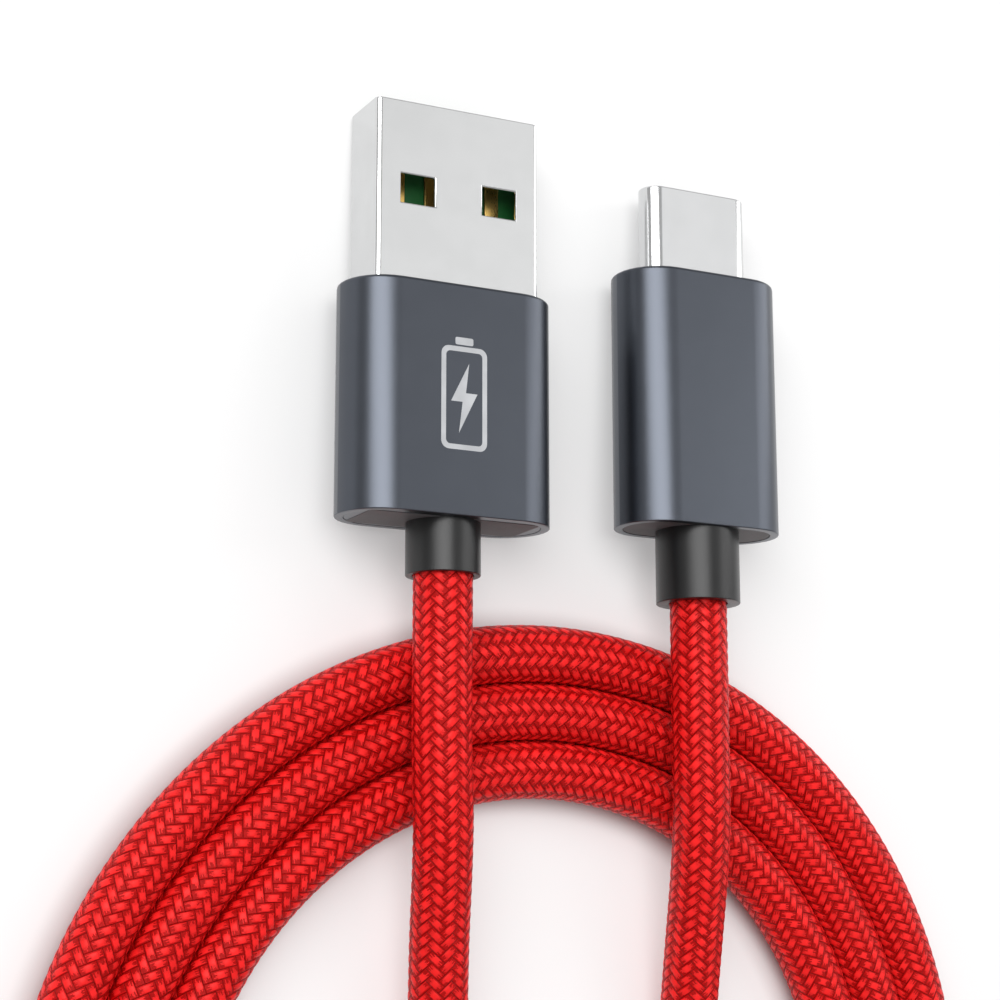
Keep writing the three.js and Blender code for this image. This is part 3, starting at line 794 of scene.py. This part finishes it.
def make_usb_a_shell():
    """The wide shell, with two windows through each wide face."""
    width, height, wall, end, edge = 12.0, 4.5, 0.3, 18.6, 0.11
    bore = width - 2 * wall, height - 2 * wall
    rings = [
        ring(bore_corners(*bore), end),
        *inner_edge(bore_corners, *bore, 0.0, edge, 1),
        *outer_edge(sharp_corners, width, height, 0.0, edge, 1),
        ring(sharp_corners(width, height), end),
    ]
    piece = loft("usb_a_shell_skin", PLUG_A, rings, "plug_nickel")
    window_width, window_start, window_end, offset = 2.5, 5.1, 7.1, 3.0
    cutters = []
    for side in (-1, 1):
        mesh = bpy.data.meshes.new("window_cutter")
        corners = [
            PLUG_A.at(side * offset + x, s, z)
            for x in (-window_width / 2, window_width / 2)
            for s in (window_start, window_end)
            for z in (-height, height)
        ]
        sides = [(0, 1, 3, 2), (4, 6, 7, 5), (0, 4, 5, 1), (2, 3, 7, 6), (0, 2, 6, 4), (1, 5, 7, 3)]
        mesh.from_pydata(corners, [], sides)
        outward(mesh)
        cutter = link("window_cutter", mesh, MATERIALS["plug_nickel"])
        cutters.append(cutter)
        cut = piece.modifiers.new("window", "BOOLEAN")
        cut.operation = "DIFFERENCE"
        cut.solver = "EXACT"
        cut.object = cutter
    bevel = piece.modifiers.new("bevel", "BEVEL")
    bevel.width = 0.11 * MM
    bevel.segments = 3
    bevel.limit_method = "ANGLE"
    bevel.angle_limit = math.radians(60)
    bake_modifiers(piece)
    for cutter in cutters:
        bpy.data.objects.remove(cutter)
    finish_piece(piece, "plug_a", "plug_nickel", "usb_a_shell")


HOUSING_A = (15.0, 6.25, 12.4, 27.9, 0.6, 1.2)  # width, height, start, end, wall and front web
HOUSING_C = (12.3, 6.3, 6.5, 24.5, 0.6, 1.5)
END_RING_A = (13.76, 5.01, 26.7, 27.88)  # width, height, start and end
END_PANEL_A = (12.2, 4.3, 27.6, 27.91)
END_PLATE_C = (11.06, 5.06, 23.3, 24.47)
CORD_HOLE = 4.15


def make_usb_a():
    make_usb_a_shell()
    make_housing(
        "usb_a_housing_skin", PLUG_A, "plug_a", HOUSING_A,
        (sharp_corners, 12.1, 4.6), "usb_a_housing",
    )
    make_plate(
        "usb_a_end_ring", PLUG_A, "plug_a", stadium, END_RING_A, CORD_HOLE,
        "housing_aluminium", "usb_a_end_cap",
    )
    make_plate(
        "usb_a_end_panel", PLUG_A, "plug_a", sharp_corners, END_PANEL_A, CORD_HOLE,
        "cap_plastic",
    )
    make_boot("usb_a_boot_skin", PLUG_A, "plug_a", BOOT_A, "usb_a_boot")


def make_mark():
    """A plain battery sign with a zigzag in it, printed thinly on the housing."""
    middle, length, width, line = 19.9, 7.4, 3.3, 0.34
    nub_length, nub_width = 0.5, 1.3
    bolt = [(0.35, 2.35), (-0.95, -0.25), (-0.12, -0.25), (-0.38, -2.35), (0.95, 0.35), (0.12, 0.35)]
    thickness, nub_gap = 0.004, 0.12
    body_length = length - nub_length
    low = -length / 2

    def box_outline(half_width, bottom, top, corner):
        centre = (bottom + top) / 2
        return [(x, y + centre) for x, y in outline(2 * half_width, top - bottom, corner)]

    loops = [
        box_outline(width / 2, low, low + body_length, 0.55),
        box_outline(width / 2 - line, low + line, low + body_length - line, 0.3),
        box_outline(nub_width / 2, low + body_length + nub_gap, low + length + nub_gap, 0.12),
        [(x, y + low + body_length / 2) for x, y in bolt],
    ]
    data = bpy.data.curves.new("charge_mark", "CURVE")
    data.dimensions = "2D"
    data.fill_mode = "BOTH"
    data.extrude = thickness
    for points in loops:
        spline = data.splines.new("POLY")
        spline.points.add(len(points) - 1)
        for point, (x, y) in zip(spline.points, points):
            point.co = (x, y, 0.0, 1.0)
        spline.use_cyclic_u = True
    shape = bpy.data.objects.new("charge_mark_shape", data)
    bpy.context.scene.collection.objects.link(shape)
    bpy.context.view_layer.update()
    mesh = bpy.data.meshes.new_from_object(shape.evaluated_get(bpy.context.evaluated_depsgraph_get()))
    bpy.data.objects.remove(shape)
    face = HOUSING_A[1] / 2
    for vertex in mesh.vertices:
        x, y, z = vertex.co
        vertex.co = PLUG_A.at(x, middle - y, face + z)
    piece = link("charge_mark", mesh, MATERIALS["printed_mark"])
    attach(piece, "plug_a")


# ---------------------------------------------------------------- USB-C plug


def make_usb_c():
    width, height, wall, end, edge = 8.25, 2.4, 0.3, 9.3, 0.13
    bore = width - 2 * wall, height - 2 * wall
    rings = [
        ring(stadium(*bore), end),
        *inner_edge(stadium, *bore, 0.0, edge, 1),
        *outer_edge(stadium, width, height, 0.0, edge, 1),
        ring(stadium(width, height), end),
    ]
    shell = loft("usb_c_shell_skin", PLUG_C, rings, "plug_bright_nickel")
    finish_piece(shell, "plug_c", "plug_bright_nickel", "usb_c_shell")
    make_housing(
        "usb_c_housing_skin", PLUG_C, "plug_c", HOUSING_C,
        (stadium, 8.35, 2.5), "usb_c_housing",
    )
    make_plate(
        "usb_c_end_plate", PLUG_C, "plug_c", stadium, END_PLATE_C, CORD_HOLE,
        "cap_plastic", "usb_c_end_cap",
    )
    make_boot("usb_c_boot_skin", PLUG_C, "plug_c", BOOT_C, "usb_c_boot")


# ---------------------------------------------------------------- CAD parts that stay


def finish_cad_parts():
    """Gives each CAD part its material, softened edges and smooth shading."""
    for row in frame["record"]["subparts"]:
        node = frame["nodes"][row["node"]]
        if node.hide_render or row["material_slot"] not in MATERIALS:
            continue
        node.data.materials.clear()
        node.data.materials.append(MATERIALS[row["material_slot"]])
        weld = node.modifiers.new("weld", "WELD")
        weld.merge_threshold = 0.0005 * MM
        bevel = node.modifiers.new("bevel", "BEVEL")
        bevel.width = 0.025 * MM
        bevel.segments = 2
        bevel.limit_method = "ANGLE"
        bevel.angle_limit = math.radians(60)
        bevel.harden_normals = True


make_usb_a()
make_mark()
make_usb_c()
finish_cad_parts()

# ---------------------------------------------------------------- floor and light


FLOOR_GLOW = 0.28  # it takes most of the shadow out of the white
FLOOR_DEPTH = -0.05 * MM
WORLD_STRENGTH = 0.50
COIL_MIDDLE, COIL_HALF_WIDTH = 29.45 * MM, 5.85 * MM  # of the three turns together


def make_floor():
    """A white backdrop that glows, except under the turns, so that the gaps between them stay dark."""
    graph = Graph("floor", Roughness=0.9, Emission_Color=colour(1.0, 1.0, 1.0))
    slow = graph.noise(graph.place(), 60 * MM, 2.0)
    graph.feed("Base Color", graph.mix(slow, colour(0.62, 0.62, 0.62), colour(0.64, 0.64, 0.64)))
    reach = graph.node("ShaderNodeVectorMath", operation="DISTANCE")
    graph.put(reach.inputs[0], graph.place())
    graph.put(reach.inputs[1], tuple(COIL_CENTRE))
    beside = graph.math("ABSOLUTE", graph.math("SUBTRACT", reach.outputs["Value"], COIL_MIDDLE))
    glow = graph.ramp(beside, COIL_HALF_WIDTH - 0.5 * MM, COIL_HALF_WIDTH + 1.5 * MM, 0.0, FLOOR_GLOW)
    graph.feed("Emission Strength", glow)
    mesh = bpy.data.meshes.new("floor")
    half = 1.5
    square = [(-half, -half), (half, -half), (half, half), (-half, half)]
    corners = [(x, y, FLOOR_DEPTH) for x, y in square]
    mesh.from_pydata(corners, [], [(0, 1, 2, 3)])
    mesh.materials.append(graph.material)
    floor = bpy.data.objects.new("floor", mesh)
    bpy.context.scene.collection.objects.link(floor)


def soft_box(name, direction, distance, size, radiance):
    """A soft box that faces the origin from a direction and distance, as bright as radiance."""
    data = bpy.data.lights.new(name, "AREA")
    data.shape = "RECTANGLE"
    data.size, data.size_y = size
    data.energy = math.pi * size[0] * size[1] * radiance
    light = bpy.data.objects.new(name, data)
    toward = Vector(direction).normalized()
    turn = toward.to_track_quat("Z", "Y").to_matrix().to_4x4()
    light.matrix_world = Matrix.Translation(toward * distance) @ turn
    bpy.context.scene.collection.objects.link(light)


def make_light():
    world = bpy.data.worlds.new("world")
    bpy.context.scene.world = world
    world.use_nodes = True
    background = world.node_tree.nodes["Background"]
    background.inputs["Color"].default_value = colour(1.0, 1.0, 1.0)
    background.inputs["Strength"].default_value = WORLD_STRENGTH
    # The first makes the light band on each housing, the next lights the flat faces and the last
    # makes the thin band at the right.
    soft_box("left_box", (-0.44, 0.32, 0.84), 0.7, (0.36, 0.8), 4.9)
    soft_box("face_box", (0.46, 0.38, 0.80), 0.8, (0.30, 0.44), 0.58)
    soft_box("right_box", (0.84, 0.30, 0.45), 0.8, (0.16, 0.8), 3.1)
    bpy.context.scene.view_settings.view_transform = "Standard"


make_floor()
make_light()
